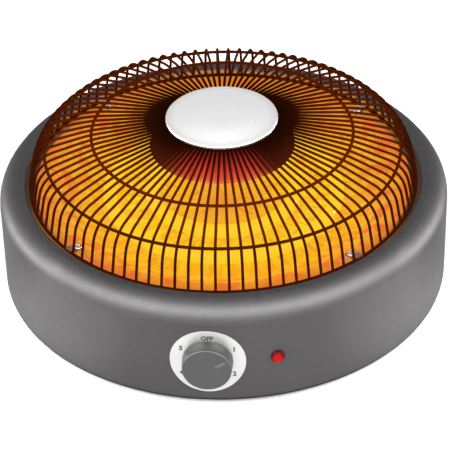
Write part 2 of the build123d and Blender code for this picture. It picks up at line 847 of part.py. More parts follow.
# Cable gland: hexagon and cap outside the rear wall, locknut inside. A wide throat leads to its bore
gland_back = wall_inner - gland_inside
gland_hex_back = body_radius + skin_gap
gland_hex_front = gland_hex_back + gland_hex_height
gland_nose = body_radius + control_reach
gland_neck_front = gland_nose - gland_cap_nose - gland_cap_gap
gland_front_radius = gland_cap_radius - gland_cap_wall
gland_bore_back = body_radius + gland_throat_past_wall
with BuildPart() as cable_gland:
    with BuildSketch(wall_plane(180, gland_height, gland_back)):
        Circle(gland_neck)
    extrude(amount=gland_hex_back - gland_back)
    with BuildSketch(wall_plane(180, gland_height, gland_hex_back)):
        RegularPolygon(gland_hex / 2, 6, major_radius=False)
    extrude(amount=gland_hex_height)
    with BuildSketch(wall_plane(180, gland_height, gland_hex_front)):
        Circle(gland_front_radius - gland_cap_gap)
    extrude(amount=gland_neck_front - gland_hex_front)
    with BuildSketch(wall_plane(180, gland_height, gland_back)):
        Circle(gland_throat)
    extrude(amount=gland_bore_back - gland_back, mode=Mode.SUBTRACT)
    with BuildSketch(wall_plane(180, gland_height, gland_bore_back)):
        Circle(gland_bore)
    extrude(amount=gland_neck_front - gland_bore_back, mode=Mode.SUBTRACT)
save(cable_gland, "cable_gland")

with BuildPart() as gland_cap:
    with BuildSketch(wall_plane(180, gland_height, gland_hex_front)):
        Circle(gland_cap_radius)
    extrude(amount=gland_nose - gland_hex_front)
    fillet(gland_cap.edges().group_by(Axis.Y)[-1], gland_cap_wall)
    with BuildSketch(wall_plane(180, gland_height, gland_hex_front)):
        Circle(gland_front_radius)
    extrude(amount=gland_neck_front + gland_cap_gap - gland_hex_front, mode=Mode.SUBTRACT)
    with BuildSketch(wall_plane(180, gland_height, gland_hex_front)):
        Circle(gland_bore + gland_nose_gap)
    extrude(amount=gland_nose - gland_hex_front, mode=Mode.SUBTRACT)
save(gland_cap, "gland_cap")

gland_nut_front = sqrt(wall_inner**2 - gland_hex**2 / 3) - gland_nut_gap
with BuildPart() as gland_locknut:
    with BuildSketch(wall_plane(180, gland_height, gland_nut_front)):
        RegularPolygon(gland_hex / 2, 6, major_radius=False)
        Circle(gland_neck + skin_gap, mode=Mode.SUBTRACT)
    extrude(amount=-gland_nut_height)
save(gland_locknut, "gland_locknut")

# Terminal block on the base plate, with its clamp screws
terminal_top = floor_gap + terminal_height
terminal_xs = [terminal_x + step * terminal_pitch for step in (-1, 0, 1)]
terminal_screw_places = [(x, terminal_y + side * terminal_depth / 4)
                         for x in terminal_xs for side in (-1, 1)]
with BuildPart() as terminal_block:
    with BuildSketch(Plane.XY.offset(floor_gap)):
        with Locations((terminal_x, terminal_y)):
            Rectangle(terminal_length, terminal_depth)
    extrude(amount=terminal_height)
    with BuildSketch(Plane.XY.offset(terminal_top)):
        with Locations(*terminal_screw_places):
            Circle(terminal_screw_radius + skin_gap)
    extrude(amount=-terminal_screw_depth, mode=Mode.SUBTRACT)
save(terminal_block, "terminal_block")

with BuildPart() as terminal_screws:
    with BuildSketch(Plane.XY.offset(terminal_top - terminal_screw_depth)):
        with Locations(*terminal_screw_places):
            Circle(terminal_screw_radius)
    extrude(amount=terminal_screw_depth - m3_head_height)
save(terminal_screws, "terminal_screws")

# Earth stud on the base plate, with its nut
with BuildPart() as earth_stud:
    with BuildSketch(Plane.XY.offset(floor_gap)):
        with Locations((earth_x, terminal_y)):
            Circle(2 * m4_radius)
    extrude(amount=base_sheet)
    with BuildSketch(Plane.XY.offset(floor_gap)):
        with Locations((earth_x, terminal_y)):
            Circle(m4_radius)
    extrude(amount=earth_stud_length)
save(earth_stud, "earth_stud")

with BuildPart() as earth_nut:
    with BuildSketch(Plane.XY.offset(floor_gap + base_sheet)):
        with Locations((earth_x, terminal_y)):
            RegularPolygon(m4_nut_width / 2, 6, major_radius=False)
            Circle(m4_radius + running_gap, mode=Mode.SUBTRACT)
    extrude(amount=m4_nut_height)
save(earth_nut, "earth_nut")

# Thermal cut-out, screwed under the heat shield
cutout_bottom = shield_bottom - cutout_body
with BuildPart() as thermal_cutout:
    with BuildSketch(Plane.XY.offset(shield_bottom)):
        with Locations((cutout_x, cutout_y)):
            Rectangle(cutout_flange_length, cutout_flange_width)
            with Locations((-cutout_screw_spread, 0), (cutout_screw_spread, 0)):
                Circle(m3_radius + m3_hole_gap, mode=Mode.SUBTRACT)
    extrude(amount=-cutout_flange_sheet)
    with BuildSketch(Plane.XY.offset(shield_bottom)):
        with Locations((cutout_x, cutout_y)):
            Circle(cutout_radius)
    extrude(amount=-cutout_body)
save(thermal_cutout, "thermal_cutout")

with BuildPart() as cutout_screws:
    with BuildSketch(Plane.XY.offset(shield_bottom - cutout_flange_sheet)):
        with Locations((cutout_x, cutout_y)):
            with Locations((-cutout_screw_spread, 0), (cutout_screw_spread, 0)):
                Circle(m3_head_radius)
    extrude(amount=-m3_head_height)
    with BuildSketch(Plane.XY.offset(shield_bottom - cutout_flange_sheet)):
        with Locations((cutout_x, cutout_y)):
            with Locations((-cutout_screw_spread, 0), (cutout_screw_spread, 0)):
                Circle(m3_radius - running_gap)
    extrude(amount=cutout_flange_sheet + shield_sheet + screw_spare)
save(cutout_screws, "cutout_screws")

# Internal leads between terminal block, switch, cut-out, lamp and tube pins
tab_end = -(switch_back - switch_tab_length)
tab_low = control_height - switch_tab_rise
pin_end = dish_floor - pin_length
terminal_front = terminal_y - terminal_depth / 2
terminal_level = floor_gap + terminal_height / 2
run_level = floor_gap + 4 * lead_bend
behind_tabs = tab_end + 3 * lead_bend
lamp_inner = outward(lamp_bearing) * (lens_back - lamp_body_length)
lamp_turn = outward(lamp_bearing) * (lens_back - lamp_body_length - 3 * lead_bend)
lead_routes = (
    (
        (terminal_xs[1], terminal_front, terminal_level),
        (terminal_xs[1], terminal_front - 3 * lead_bend, terminal_level),
        (switch_tab_spread, behind_tabs + 2 * lead_bend, terminal_level),
        (switch_tab_spread, behind_tabs, tab_low),
        (switch_tab_spread, tab_end, tab_low),
    ),
    (
        (-switch_tab_spread, tab_end, tab_low),
        (-switch_tab_spread, behind_tabs, tab_low),
        (-pin_spread, outer_tube_circle - 3 * lead_bend, run_level - lead_bend),
        (-pin_spread, outer_tube_circle, run_level - lead_bend),
        (-pin_spread, outer_tube_circle, pin_end),
    ),
    (
        (terminal_xs[0], terminal_front, terminal_level),
        (terminal_xs[0], terminal_front - 3 * lead_bend, terminal_level),
        (cutout_x, cutout_y + 3 * lead_bend, terminal_level),
        (cutout_x, cutout_y, terminal_level),
        (cutout_x, cutout_y, cutout_bottom),
    ),
    (
        (lamp_inner.X, lamp_inner.Y, lamp_height),
        (lamp_turn.X, lamp_turn.Y, lamp_height),
        (terminal_xs[2], terminal_front - 3 * lead_bend, terminal_level + lead_bend / 2),
        (terminal_xs[2], terminal_front, terminal_level + lead_bend / 2),
    ),
)
with BuildPart() as internal_leads:
    for route in lead_routes:
        with BuildLine() as lead_line:
            FilletPolyline(*route, radius=lead_bend)
        lead_wire = lead_line.wires()[0]
        with BuildSketch(Plane(origin=lead_wire @ 0, z_dir=lead_wire % 0)):
            Circle(lead_radius)
        sweep(path=lead_wire)
save(internal_leads, "internal_leads")

print("knob turn, degrees:", -knob_rest_angle, "to", knob_sweep - knob_rest_angle)
print("guard rings:", ring_centre(outer_ring_run), ring_centre(inner_ring_run))
print("gland bore:", gland_bore_back, "to", gland_neck_front)
print("gland throat:", gland_back, "to", gland_bore_back)
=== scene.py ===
from math import atan, atan2, cos, pi, radians, sin

import bmesh
import bpy
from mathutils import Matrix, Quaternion, Vector


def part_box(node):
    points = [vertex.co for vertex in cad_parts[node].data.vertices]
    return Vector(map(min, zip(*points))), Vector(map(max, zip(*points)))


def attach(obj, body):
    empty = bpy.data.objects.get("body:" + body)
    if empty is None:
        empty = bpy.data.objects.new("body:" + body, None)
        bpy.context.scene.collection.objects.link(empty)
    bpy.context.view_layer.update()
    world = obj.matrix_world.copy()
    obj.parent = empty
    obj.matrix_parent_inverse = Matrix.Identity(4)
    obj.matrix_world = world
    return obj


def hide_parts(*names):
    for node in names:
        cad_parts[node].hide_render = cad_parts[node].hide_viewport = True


# Electric brazier, lit, on a pale floor. Lengths are metres and colours are linear.
# The axis is Z and the knob faces -Y. Bearings run from the knob towards +X.

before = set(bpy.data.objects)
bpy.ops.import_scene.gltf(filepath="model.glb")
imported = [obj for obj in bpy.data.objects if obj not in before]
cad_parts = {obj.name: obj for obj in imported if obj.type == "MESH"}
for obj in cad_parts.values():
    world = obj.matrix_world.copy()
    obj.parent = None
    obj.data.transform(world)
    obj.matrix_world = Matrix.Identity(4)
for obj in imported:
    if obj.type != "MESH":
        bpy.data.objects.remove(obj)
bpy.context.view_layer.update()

HOUSING = "housing"

# Camera, with the photograph's frame in pixels
FRAME_WIDTH = 455
SENSOR_WIDTH = 36.0
FOCAL_PIXELS = 2215.0
TARGET_PIXEL = (224.0, 208.0)
TARGET_HEIGHT = 0.064
CAMERA_DISTANCE = 2.0
CAMERA_ELEVATION = radians(35.05)
CAMERA_BEARING = radians(4.8)
CAMERA_ROLL = -0.025

# Floor and room
FLOOR_SIZE = 14.0
FLOOR_COLOUR = (0.38, 0.38, 0.38)
FLOOR_ROUGHNESS = 0.9
FLOOR_GRAINS = 40.0
FLOOR_GRAIN_DEPTH = 0.00002
FLOOR_CONTRAST = 0.01
ROOM_COLOUR = (1.0, 1.0, 1.0)
ROOM_STRENGTH = 0.90

# Soft lights that face the heater: bearing and elevation in degrees, distance, width,
# height and power
SOFT_LIGHTS = {
    "front_light": (4.8, 39.0, 1.9, 1.9, 1.5, 78.0),
    "front_left_light": (-54.0, 35.0, 1.9, 1.9, 1.5, 96.0),
    "front_right_light": (64.0, 35.0, 1.9, 1.9, 1.5, 96.0),
    "rear_light": (184.8, 54.0, 1.9, 1.2, 0.5, 2.2),
    "left_light": (-100.0, 5.0, 1.7, 0.9, 0.5, 48.0),
    "right_light": (110.0, 5.0, 1.7, 0.9, 0.5, 48.0),
}

# Small lights that look down at the floor, which the casing's side walls mirror: bearing
# in degrees and power
FLOOR_LIGHTS = {
    "left_front_floor_light": (-44.0, 0.30),
    "left_side_floor_light": (-62.0, 0.58),
    "right_front_floor_light": (54.0, 0.30),
    "right_side_floor_light": (72.0, 0.58),
}
FLOOR_LIGHT_REACH = 0.265
FLOOR_LIGHT_HEIGHT = 0.12
FLOOR_LIGHT_SIZE = 0.10
FLOOR_LIGHT_SPREAD = radians(60.0)

# Places read from the frame
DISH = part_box("reflector_dish")
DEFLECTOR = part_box("heat_deflector")
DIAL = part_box("dial_plate")
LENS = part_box("pilot_lamp_lens")
GLAND_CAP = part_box("gland_cap")
POINTER_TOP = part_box("control_knob")[0].y
DISH_RADIUS = DISH[1].x
DISH_EDGE_GAP = 0.004
LIP_RADIUS = DISH_RADIUS + DISH_EDGE_GAP
DIAL_RADIUS = -DIAL[0].y
DIAL_LEVEL = (DIAL[0].z + DIAL[1].z) / 2

# Noise keeps mostly to this span, about its mean
NOISE_LOW = 0.3
NOISE_HIGH = 0.7
NOISE_MEAN = 0.5

# Grained finishes: colour, roughness, metallic, grains in a metre and the grain's depth
FINISHES = {
    "zinc_steel": ((0.62, 0.62, 0.63), 0.32, 1.0, 600.0, 0.00001),
    "base_steel": ((0.62, 0.62, 0.63), 0.32, 1.0, 600.0, 0.00001),
    "brass": ((0.68, 0.48, 0.20), 0.35, 1.0, 500.0, 0.00001),
    "switch_plastic": ((0.03, 0.03, 0.032), 0.5, 0.0, 900.0, 0.00002),
    "black_nylon": ((0.022, 0.022, 0.023), 0.45, 0.0, 1100.0, 0.00003),
    "gland_nylon": ((0.022, 0.022, 0.023), 0.45, 0.0, 1100.0, 0.00003),
    "foot_rubber": ((0.020, 0.020, 0.020), 0.80, 0.0, 800.0, 0.00006),
    "lead_sleeve": ((0.55, 0.53, 0.48), 0.60, 0.0, 900.0, 0.00003),
    "mark_ink": ((0.010, 0.010, 0.010), 0.7, 0.0, 1500.0, 0.00001),
    "knob_plastic": ((0.0105, 0.0100, 0.0102), 0.38, 0.0, 1400.0, 0.00003),
    "ceramic": ((0.080, 0.055, 0.030), 0.75, 0.0, 700.0, 0.00004),
}
GRAIN_CONTRAST = 0.12
GRAIN_ROUGHNESS_CONTRAST = 0.15

# Steel with the tubes' light painted on: its colour, tinted warm by that painted light, and its
# painted glow
PAINTED_GLOW_STEELS = {
    "lip_steel": ((0.22, 0.17, 0.14), (0.05, 0.010, 0.002)),
    "dish_steel": ((0.30, 0.14, 0.04), (0.90, 0.34, 0.03)),
    "screw_steel": ((0.34, 0.29, 0.26), (0.06, 0.014, 0.004)),
}

# Casing: the levels between which painted shade darkens its foot, how far inside and outside the
# lip's radius the tubes' light painted on as a glow fades out, and what is left of it at the
# sides
FOOT_PAINTED_SHADE_LEVEL = 0.0055
FOOT_SHADE_END_LEVEL = 0.0105
LIP_GLOW_INSIDE = 0.0005
LIP_GLOW_OUTSIDE = 0.0015
LIP_SIDE_GLOW = 0.07

# Guard: where the tubes' red light, painted on its wires as a glow, fades towards the rim,
# the cap and the rear
GUARD_RIM_SPAN = (0.146, 0.170)
GUARD_RIM_GLOW = 0.40
GUARD_CAP_SPAN = (0.052, 0.110)
GUARD_CAP_GLOW = 0.10
GUARD_REAR_SPAN = (-0.10, 0.12)
GUARD_REAR_GLOW = 0.60

# Dish: streaks in a radian, waves in a metre along them, the colour of the tubes' light painted
# on it as a glow from the middle to the edge, the ring that has painted red spots and how far
# they cover the colour
DISH_STREAKS = 16.0
DISH_WAVES = 30.0
DISH_WASH = [
    (0.0, (0.82, 0.28, 0.018)),
    (0.12, (0.90, 0.39, 0.018)),
    (0.24, (0.95, 0.47, 0.014)),
    (0.36, (0.97, 0.53, 0.012)),
    (0.50, (0.98, 0.62, 0.012)),
    (0.64, (0.95, 0.45, 0.010)),
    (0.80, (0.91, 0.43, 0.010)),
    (0.92, (0.84, 0.30, 0.010)),
    (1.0, (0.55, 0.13, 0.010)),
]
SPOTTED_RING = (0.110, 0.150)
SPOT_COVER = 0.85

# Tubes: the coil's bands in a whole turn
TUBE_BANDS = 200.0

# Deflector: the tubes' red light painted on it as a glow, from the bottom to the top
DEFLECTOR_GLOW = [
    (0.0, (0.90, 0.28, 0.10)),
    (0.06, (0.60, 0.075, 0.03)),
    (0.30, (0.46, 0.028, 0.018)),
    (0.70, (0.24, 0.011, 0.007)),
    (1.0, (0.05, 0.003, 0.002)),
]

# Cap, knob and lens
# Span of the cap's edge that is painted darker and warmer: painted shade and a painted warm
# reflection
CAP_EDGE_SPAN = (0.040, 0.049)
# Depth below the pointer's top, and its fade, where the knob's painted highlight lies
POINTER_HIGHLIGHT_DEPTH = 0.00025
POINTER_HIGHLIGHT_FADE = 0.0001
LENS_CORE = 0.0024
LENS_RIM = 0.0064

# Dial marks: the word at the top, then the heat positions clockwise
WORD_LEVEL = 0.0245
WORD_HEIGHT = 0.0047
NUMBER_HEIGHT = 0.0050
MARK_CIRCLE = 0.0258
MARK_PROUD = 0.00001
MARK_THICKNESS = 0.00005
MARK_BOLD = 0.044
MARK_SMOOTHNESS = 4
POSITIONS = 5
POSITION_STEP = radians(60.0)

# Filament coils inside the quartz tubes
COIL_WIRE = 0.00022
COIL_PITCH = 0.0016
COIL_STEPS = 8

# Cross-slot screws: head radius, head height and shank radius
CLIP_SCREW = (0.0036, 0.0024, 0.0020)
BASE_SCREW = (0.0030, 0.0019, 0.00147)
SCREW_SIDES = 48

# Shares of a screw head's height or of its width
HEAD_EDGE = 0.35
SLOT_WIDTH = 0.16
SLOT_LENGTH = 0.62
SLOT_DEPTH = 0.55

# The slots' turn at the middle, and how it changes from there to either side
SLOT_TURN = 0.4
SLOT_TURN_SPREAD = 1.7

# Which points belong to one screw: those in a sector, then those within some head radii
SCREW_SECTOR = radians(10.0)
SCREW_REACH = 3.0

# Cable gland's cap
GLAND_FLUTES = 18
GLAND_FLUTE_DEPTH = 0.0007
GLAND_FLUTE_SHARPNESS = 0.5
GLAND_FLUTE_SIDES = 12
GLAND_FLUTE_STOP = 0.999
GLAND_BORE = 0.0048
GLAND_WALL = 0.002

# Turned meshes
AXIS_GAP = 0.00001
ARC_STEP = 15
WELD_DISTANCE = 0.000001
CREASE_ANGLE = radians(32.0)


class Paint:
    """A node material, built up round its Principled shader."""

    def __init__(self, name, colour, roughness, metallic=0.0):
        self.material = bpy.data.materials.new(name)
        self.material.use_nodes = True
        self.tree = self.material.node_tree
        self.shader = self.tree.nodes["Principled BSDF"]
        self.give("Base Color", colour)
        self.give("Roughness", roughness)
        self.give("Metallic", metallic)

    def give(self, socket, value):
        """Give one of the shader's own sockets a number, a colour or another node's output."""
        own = self.shader.inputs[socket]
        if isinstance(value, bpy.types.NodeSocket):
            self.tree.links.new(value, own)
        else:
            own.default_value = (*value, 1.0) if isinstance(value, tuple) else value

    def glow(self, colour, strength):
        """Make the surface give light."""
        self.give("Emission Color", colour)
        self.give("Emission Strength", strength)

    def node(self, kind, settings=None, **inputs):
        """Add a node; an input is a number, a colour or another node's output."""
        made = self.tree.nodes.new(kind)
        for key, value in (settings or {}).items():
            setattr(made, key, value)
        for key, value in inputs.items():
            numbered = key[0] == "i" and key[1:].isdigit()
            socket = made.inputs[int(key[1:]) if numbered else key]
            if isinstance(value, bpy.types.NodeSocket):
                self.tree.links.new(value, socket)
            else:
                socket.default_value = value
        return made

    def place(self):
        """The point in the object's own frame, in metres."""
        return self.node("ShaderNodeTexCoord").outputs["Object"]

    def parts(self, vector):
        """The x, y and z of a vector."""
        return self.node("ShaderNodeSeparateXYZ", i0=vector).outputs

    def vector(self, x, y, z):
        """A vector of three numbers."""
        return self.node("ShaderNodeCombineXYZ", i0=x, i1=y, i2=z).outputs[0]

    def math(self, operation, *values):
        """A number worked out from one or two others."""
        inputs = {f"i{index}": value for index, value in enumerate(values)}
        return self.node("ShaderNodeMath", {"operation": operation}, **inputs).outputs[0]

    def times(self, first, second):
        """The product of two numbers."""
        return self.math("MULTIPLY", first, second)

    def distance(self, across, along):
        """The length of a flat vector."""
        squares = self.math("ADD", self.times(across, across), self.times(along, along))
        return self.math("SQRT", squares)

    def radius(self):
        """The distance from the heater's axis."""
        x, y, _ = self.parts(self.place())
        return self.distance(x, y)

    def bearing(self):
        """The angle round the axis in radians, 0 at the knob."""
        x, y, _ = self.parts(self.place())
        return self.math("ARCTAN2", x, self.times(y, -1.0))

    def range(self, value, low, high, start=0.0, end=1.0, smooth=True):
        """Map a span of values to another span, held at its ends."""
        kind = {"interpolation_type": "SMOOTHSTEP" if smooth else "LINEAR"}
        ends = {"i1": low, "i2": high, "i3": start, "i4": end}
        return self.node("ShaderNodeMapRange", kind, i0=value, **ends).outputs[0]

    def vary(self, noise, start, end):
        """Turn a noise into a value between two others."""
        return self.range(noise, NOISE_LOW, NOISE_HIGH, start, end)

    def noise(self, vector, scale, detail=2.0, rough=0.5):
        """Smooth random values about 0.5, in features of 1 / scale."""
        settings = {"Scale": scale, "Detail": detail, "Roughness": rough}
        return self.node("ShaderNodeTexNoise", **settings, Vector=vector).outputs[0]

    def lines(self, value, scale, detail=2.0, rough=0.5):
        """Noise that changes along one value only, which draws lines across it."""
        return self.noise(self.vector(self.times(value, scale), 0.0, 0.0), 1.0, detail, rough)

    def mix(self, factor, first, second, blend="MIX"):
        """Blend two colours."""
        made = self.node("ShaderNodeMix", {"data_type": "RGBA", "blend_type": blend})
        for index, value in ((0, factor), (6, first), (7, second)):
            if isinstance(value, bpy.types.NodeSocket):
                self.tree.links.new(value, made.inputs[index])
            else:
                made.inputs[index].default_value = (*value, 1.0) if index else value
        return made.outputs[2]

    def ramp(self, value, stops):
        """A colour from a value between 0 and 1, through (place, colour) stops."""
        made = self.node("ShaderNodeValToRGB", i0=value)
        band = made.color_ramp
        while len(band.elements) < len(stops):
            band.elements.new(1.0)
        for element, (place, colour) in zip(band.elements, stops):
            element.position = place
            element.color = (*colour, 1.0)
        return made.outputs[0]

    def bump(self, height, depth):
        """Raise the surface by a height from 0 to 1 times a depth in metres."""
        made = self.node("ShaderNodeBump", Height=height, Distance=depth, Strength=1.0)
        self.give("Normal", made.outputs[0])


def grained(name, colour, roughness, metallic, scale, depth, contrast=GRAIN_CONTRAST):
    """A material with a fine grain in its colour, its roughness and its surface."""
    paint = Paint(name, colour, roughness, metallic)
    grain = paint.noise(paint.place(), scale, detail=3.0)
    dark = tuple(channel * (1.0 - contrast) for channel in colour)
    light = tuple(channel * (1.0 + contrast) for channel in colour)
    paint.give("Base Color", paint.mix(grain, dark, light))
    smoothest = roughness * (1.0 - GRAIN_ROUGHNESS_CONTRAST)
    roughest = roughness * (1.0 + GRAIN_ROUGHNESS_CONTRAST)
    paint.give("Roughness", paint.vary(grain, smoothest, roughest))
    paint.bump(grain, depth)
    return paint


def finish(name):
    """One of the grained finishes."""
    return grained(name, *FINISHES[name])


def warm_steel(name):
    """Zinc-plated steel with the tubes' light painted on: a warm tint and a glow."""
    colour, light = PAINTED_GLOW_STEELS[name]
    paint = grained(name, colour, roughness=0.34, metallic=1.0, scale=600.0, depth=0.00001)
    paint.glow(light, strength=1.0)
    return paint


def casing_enamel():
    """Satin metallic grey with a fine orange peel; painted shade darkens its foot, and the
    tubes' light is painted inside its lip as a glow, least at the sides.
    """
    paint = Paint("casing_enamel", (0.058, 0.056, 0.0565), roughness=0.54, metallic=0.98)
    paint.give("Specular IOR Level", 0.3)
    paint.give("Specular Tint", (0.42, 0.42, 0.42))
    place = paint.place()
    cloud = paint.noise(place, scale=14.0, detail=3.0)
    tone = paint.mix(cloud, (0.051, 0.0492, 0.0497), (0.061, 0.0588, 0.0595))
    height = paint.parts(place)[2]
    # Painted shade darkens the casing's foot
    clear = paint.range(height, FOOT_PAINTED_SHADE_LEVEL, FOOT_SHADE_END_LEVEL, start=0.22, end=1.0)
    paint.give("Base Color", paint.mix(clear, (0.012, 0.011, 0.011), tone))
    paint.give("Roughness", paint.vary(paint.noise(place, scale=300.0), start=0.51, end=0.57))
    # The tubes' light painted on the lip's inside as a glow, strongest at the front and the rear
    inner, outer = LIP_RADIUS - LIP_GLOW_INSIDE, LIP_RADIUS + LIP_GLOW_OUTSIDE
    inside = paint.range(paint.radius(), inner, outer, start=1.0, end=0.0)
    facing = paint.math("ABSOLUTE", paint.math("COSINE", paint.bearing()))
    spread = paint.range(facing, low=0.25, high=0.80, start=LIP_SIDE_GLOW)
    paint.glow((0.60, 0.20, 0.012), paint.times(inside, spread))
    paint.bump(paint.noise(place, scale=900.0, detail=1.0), depth=0.00003)
    return paint


def guard_enamel():
    """Black heat-proof enamel with the tubes' dark red light painted on as a glow."""
    paint = Paint("guard_enamel", (0.0008, 0.0003, 0.0001), roughness=0.6)
    radius = paint.radius()
    rim = paint.range(radius, *GUARD_RIM_SPAN, start=1.0, end=GUARD_RIM_GLOW)
    cap = paint.range(radius, *GUARD_CAP_SPAN, start=GUARD_CAP_GLOW)
    depth = paint.parts(paint.place())[1]
    rear = paint.range(depth, *GUARD_REAR_SPAN, start=1.0, end=GUARD_REAR_GLOW)
    paint.glow((0.120, 0.0155, 0.0003), paint.times(paint.times(rim, cap), rear))
    paint.give("Specular IOR Level", 0.0)
    paint.bump(paint.noise(paint.place(), scale=1500.0), depth=0.00002)
    return paint


def cap_metal():
    """Satin pressed metal with a faint spun grain; its edge is painted darker and warmer,
    painted shade and a painted warm reflection.
    """
    paint = Paint("cap_metal", (0.76, 0.76, 0.765), roughness=0.30, metallic=1.0)
    # Painted shade and a painted warm reflection at the edge
    edge = paint.range(paint.radius(), *CAP_EDGE_SPAN)
    paint.give("Base Color", paint.mix(edge, (0.72, 0.72, 0.725), (0.63, 0.61, 0.59)))
    rings = paint.lines(paint.radius(), scale=1800.0)
    paint.give("Roughness", paint.vary(rings, start=0.27, end=0.33))
    paint.bump(rings, depth=0.0000006)
    return paint


def deflector_enamel():
    """Black enamel with the tubes' dull red light painted on over them as a glow, least at the
    left and the right.
    """
    paint = Paint("deflector_enamel", (0.002, 0.0006, 0.0005), roughness=0.50)
    place = paint.place()
    level = paint.parts(place)[2]
    height = paint.range(level, DEFLECTOR[0].z, DEFLECTOR[1].z, smooth=False)
    turn = paint.bearing()
    uneven = paint.vary(paint.noise(place, scale=26.0), start=0.90, end=1.35)
    lines = paint.lines(turn, scale=45.0)
    streaked = paint.times(uneven, paint.range(lines, low=0.35, high=0.7, start=0.8, end=1.6))
    side = paint.math("ABSOLUTE", paint.math("SINE", turn))
    spread = paint.range(side, low=0.42, high=0.85, start=1.0, end=0.06)
    paint.glow(paint.ramp(height, DEFLECTOR_GLOW), paint.times(streaked, spread))
    paint.give("Specular IOR Level", 0.01)
    paint.bump(paint.noise(place, scale=1200.0), depth=0.00002)
    return paint


def hot_dish():
    """Polished dish with the tubes' light painted on as a glow, in uneven radial streaks."""
    paint = Paint("hot_dish", (0.012, 0.004, 0.0006), roughness=0.40)
    paint.give("Specular IOR Level", 0.1)
    place = paint.place()
    radius = paint.radius()
    wash = paint.ramp(paint.times(radius, 1 / DISH_RADIUS), DISH_WASH)
    across = paint.times(paint.bearing(), DISH_STREAKS)
    along = paint.times(radius, DISH_WAVES)
    streak = paint.noise(paint.vector(across, along, 0.0), scale=1.0, detail=3.0, rough=0.6)
    streaked = paint.range(streak, low=0.35, high=0.65)
    tint = paint.mix(streaked, (1.0, 0.80, 0.9), (1.0, 1.12, 1.1))
    base = paint.mix(1.0, wash, tint, "MULTIPLY")
    spots = paint.range(paint.noise(place, scale=70.0), low=0.47, high=0.60)
    spotted = paint.times(spots, paint.range(radius, *SPOTTED_RING))
    # Red spots of the painted glow in a ring
    spotted_glow = paint.mix(paint.times(spotted, SPOT_COVER), base, (0.82, 0.13, 0.018))
    ripple = paint.noise(place, scale=48.0, detail=3.0, rough=0.6)
    veins = paint.math("ABSOLUTE", paint.math("SUBTRACT", ripple, NOISE_MEAN))
    dark = paint.range(veins, low=0.0, high=0.018, start=0.55, end=0.0)
    paint.glow(paint.mix(dark, spotted_glow, (0.62, 0.20, 0.012)), strength=0.96)
    paint.bump(streak, depth=0.0004)
    return paint


def hot_quartz():
    """Quartz tube full of light, banded by the coil inside it."""
    paint = Paint("hot_quartz", (0.02, 0.008, 0.001), roughness=0.30)
    paint.give("Specular IOR Level", 0.03)
    paint.give("Alpha", 0.72)
    wave = paint.math("SINE", paint.times(paint.bearing(), TUBE_BANDS))
    band = paint.range(wave, low=-1.0, high=1.0)
    colour = paint.mix(band, (0.98, 0.56, 0.014), (0.99, 0.66, 0.022))
    paint.glow(colour, strength=0.96)
    return paint


def filament_wire():
    """Resistance wire at working heat."""
    paint = Paint("filament_wire", (0.02, 0.01, 0.003), roughness=0.6)
    paint.give("Specular IOR Level", 0.02)
    spread = paint.noise(paint.place(), scale=60.0)
    paint.glow(paint.mix(spread, (1.0, 0.62, 0.03), (1.0, 0.76, 0.08)), strength=1.1)
    return paint


def hot_ceramic():
    """Unglazed ceramic with the tubes' light painted on as a glow."""
    paint = finish("ceramic")
    paint.glow((0.50, 0.22, 0.03), strength=0.8)
    return paint


def knob_plastic():
    """Dark grey moulded plastic; the raised pointer's top is painted paler, a painted highlight.
    """
    paint = finish("knob_plastic")
    grain = paint.shader.inputs["Base Color"].links[0].from_socket
    # Painted highlight on the pointer's top
    face = POINTER_TOP + POINTER_HIGHLIGHT_DEPTH
    low, high = face - POINTER_HIGHLIGHT_FADE, face + POINTER_HIGHLIGHT_FADE
    pointer_highlight = paint.range(paint.parts(paint.place())[1], low, high, start=1.0, end=0.0)
    paint.give("Base Color", paint.mix(pointer_highlight, grain, (0.030, 0.029, 0.0295)))
    return paint


def zinc_sheet():
    """Galvanised sheet with its spangle."""
    paint = Paint("zinc_sheet", (0.55, 0.56, 0.58), roughness=0.42, metallic=1.0)
    flake = paint.node("ShaderNodeTexVoronoi", Scale=110.0, Vector=paint.place())
    tone = paint.parts(flake.outputs["Color"])[0]
    paint.give("Base Color", paint.mix(tone, (0.42, 0.43, 0.45), (0.62, 0.63, 0.65)))
    paint.give("Roughness", paint.range(tone, 0.0, 1.0, start=0.34, end=0.52, smooth=False))
    return paint


def dial_metal():
    """Pale aluminium disc, spun round the knob's axis."""
    paint = Paint("dial_metal", (0.38, 0.38, 0.37), roughness=0.38, metallic=0.9)
    x, _, z = paint.parts(paint.place())
    reach = paint.distance(x, paint.math("SUBTRACT", z, DIAL_LEVEL))
    rings = paint.lines(reach, scale=2200.0, detail=3.0, rough=0.7)
    paint.give("Base Color", paint.mix(rings, (0.32, 0.32, 0.31), (0.44, 0.44, 0.43)))
    paint.give("Roughness", paint.vary(rings, start=0.34, end=0.42))
    paint.bump(rings, depth=0.000003)
    return paint


def lamp_red():
    """Red lens, brightest at its middle where the lamp sits."""
    paint = Paint("lamp_red", (0.010, 0.0004, 0.0004), roughness=0.22)
    paint.give("Specular IOR Level", 0.02)
    low, high = LENS
    front = Vector(((low.x + high.x) / 2, low.y, (low.z + high.z) / 2))
    measure = {"operation": "DISTANCE"}
    offset = paint.node("ShaderNodeVectorMath", measure, i0=paint.place(), i1=front)
    reach = paint.range(offset.outputs["Value"], LENS_CORE, LENS_RIM)
    paint.glow(paint.mix(reach, (0.74, 0.008, 0.011), (0.07, 0.002, 0.003)), strength=0.95)
    return paint


def dress(paint, *nodes):
    """Give CAD nodes a material."""
    for name in nodes:
        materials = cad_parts[name].data.materials
        materials.clear()
        materials.append(paint.material)


